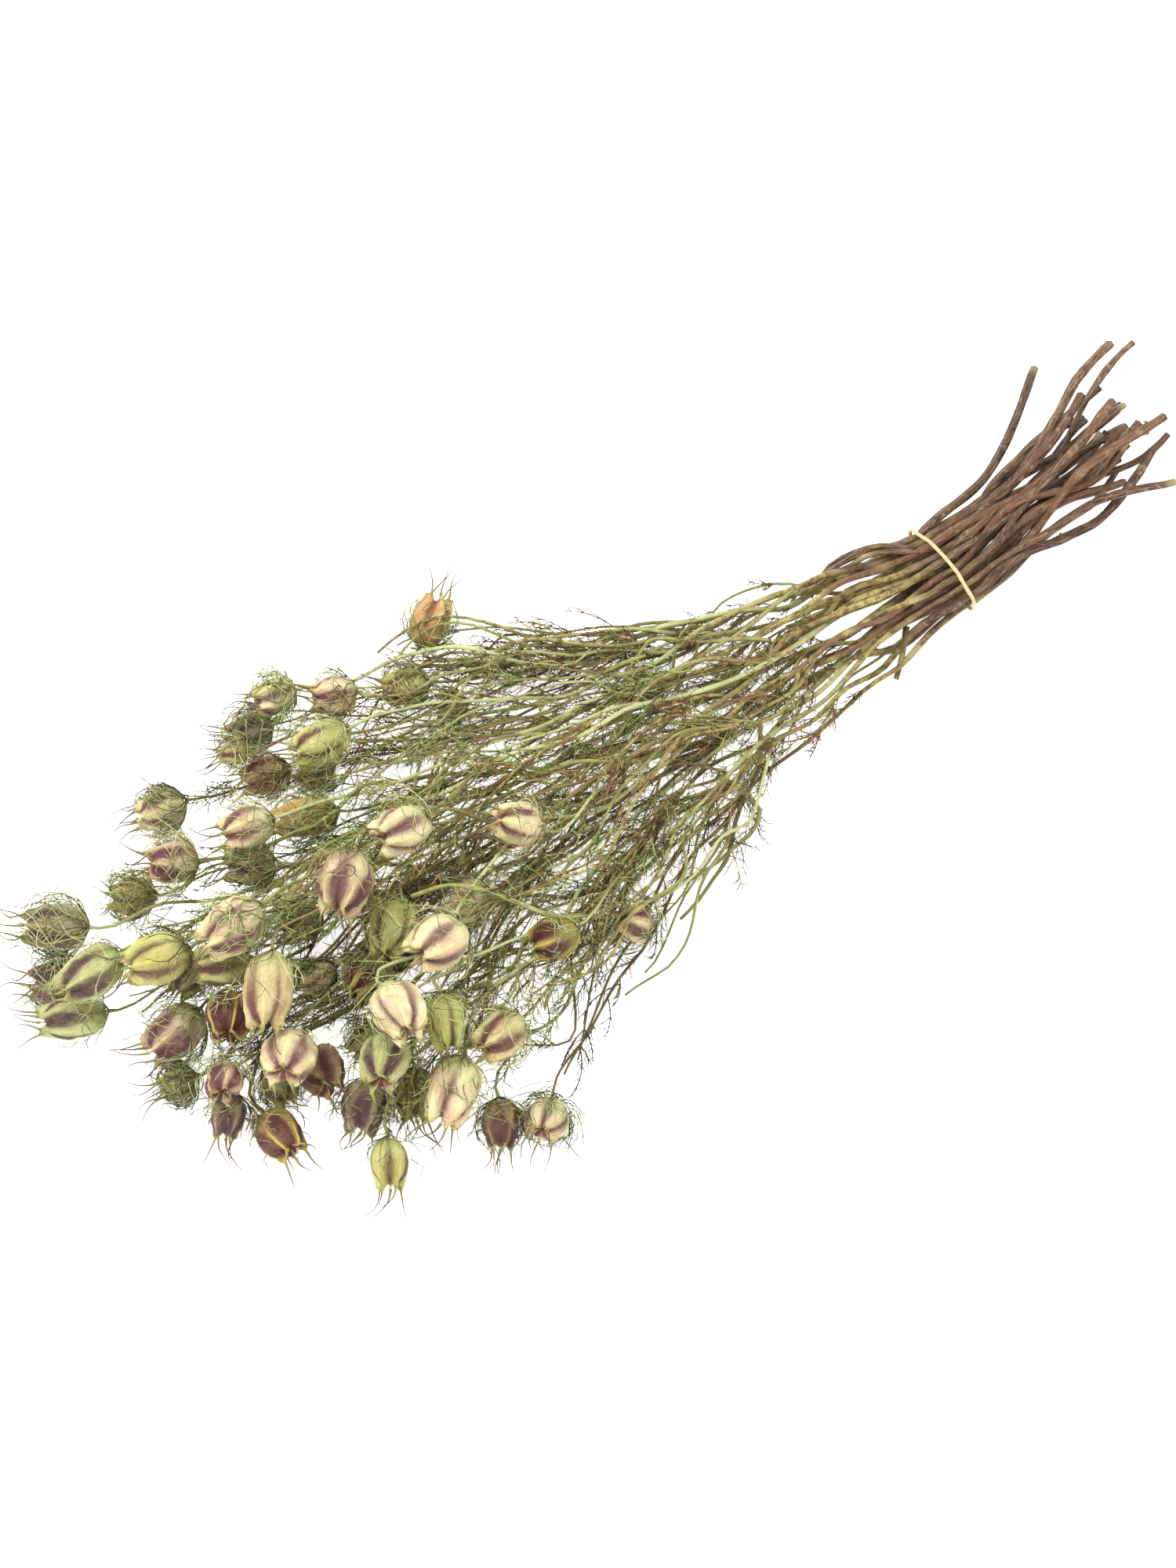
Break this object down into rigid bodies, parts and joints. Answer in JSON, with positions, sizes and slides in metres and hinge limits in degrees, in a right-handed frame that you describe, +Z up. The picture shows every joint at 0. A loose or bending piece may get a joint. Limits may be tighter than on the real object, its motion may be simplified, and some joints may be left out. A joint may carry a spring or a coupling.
{
  "type": "tied bunch of nigella seed pods",
  "caption": "Tied bunch of dried love-in-a-mist seed pods, lying fanned out, with horned ribbed pods, threadlike leaves and bare cut stems.",
  "frame": {"origin": "centre of the bunch's outline on the surface that it lies on", "axes": "+X along the bunch towards the cut stem ends, +Z up, the pods fan out towards -X"},
  "size_m": [0.5722, 0.247, 0.0994],
  "materials": {
    "stem": "dry, finely ribbed, brown at the cut ends and green towards the pods",
    "tie": "dry pale fibre",
    "pod_purple": "papery dried capsule, matt to faint sheen",
    "pod_green": "papery dried capsule, matt to faint sheen",
    "pod_lime": "papery dried capsule, matt to faint sheen",
    "pod_blush": "papery dried capsule, matt to faint sheen",
    "pod_pink": "papery dried capsule, matt to faint sheen",
    "pod_dark": "papery dried capsule, matt to faint sheen",
    "pod_tan": "papery dried capsule, matt to faint sheen",
    "pod_cream": "papery dried capsule, matt to faint sheen",
    "pod_brown": "papery dried capsule, matt to faint sheen",
    "pod_olive": "papery dried capsule, matt to faint sheen",
    "pod_orange": "papery dried capsule, matt to faint sheen"
  },
  "bodies": {
    "root": {"tie": "tie", "pod_01": "pod_purple", "pod_02": "pod_purple", "pod_03": "pod_green", "pod_04": "pod_green", "pod_05": "pod_lime", "pod_06": "pod_blush", "pod_07": "pod_lime", "pod_08": "pod_green", "pod_09": "pod_pink", "pod_10": "pod_dark", "pod_11": "pod_tan", "pod_12": "pod_cream", "pod_13": "pod_brown", "pod_14": "pod_olive", "pod_15": "pod_pink", "pod_16": "pod_purple", "pod_17": "pod_dark", "pod_19": "pod_pink", "pod_20": "pod_cream", "pod_21": "pod_purple", "pod_22": "pod_cream", "pod_24": "pod_cream", "pod_25": "pod_purple", "pod_26": "pod_blush", "pod_27": "pod_lime", "pod_28": "pod_brown", "pod_30": "pod_tan", "pod_31": "pod_orange", "pod_32": "pod_lime", "pod_33": "pod_orange", "pod_35": "pod_cream", "pod_36": "pod_cream", "pod_37": "pod_pink", "pod_38": "pod_lime", "pod_39": "pod_cream", "pod_40": "pod_blush", "pod_42": "pod_dark", "pod_43": "pod_cream", "pod_44": "pod_dark", "pod_46": "pod_cream", "pod_47": "pod_lime", "pod_48": "pod_tan", "pod_49": "pod_green", "pod_50": "pod_purple", "pod_51": "pod_cream", "pod_52": "pod_olive", "pod_54": "pod_brown", "pod_55": "pod_cream", "pod_56": "pod_lime", "stems_1": "stem", "stems_2": "stem", "stems_3": "stem", "stems_4": "stem", "stems_5": "stem", "stems_6": "stem", "stems_7": "stem", "stems_8": "stem", "stems_9": "stem"}
  },
  "joints": []
}
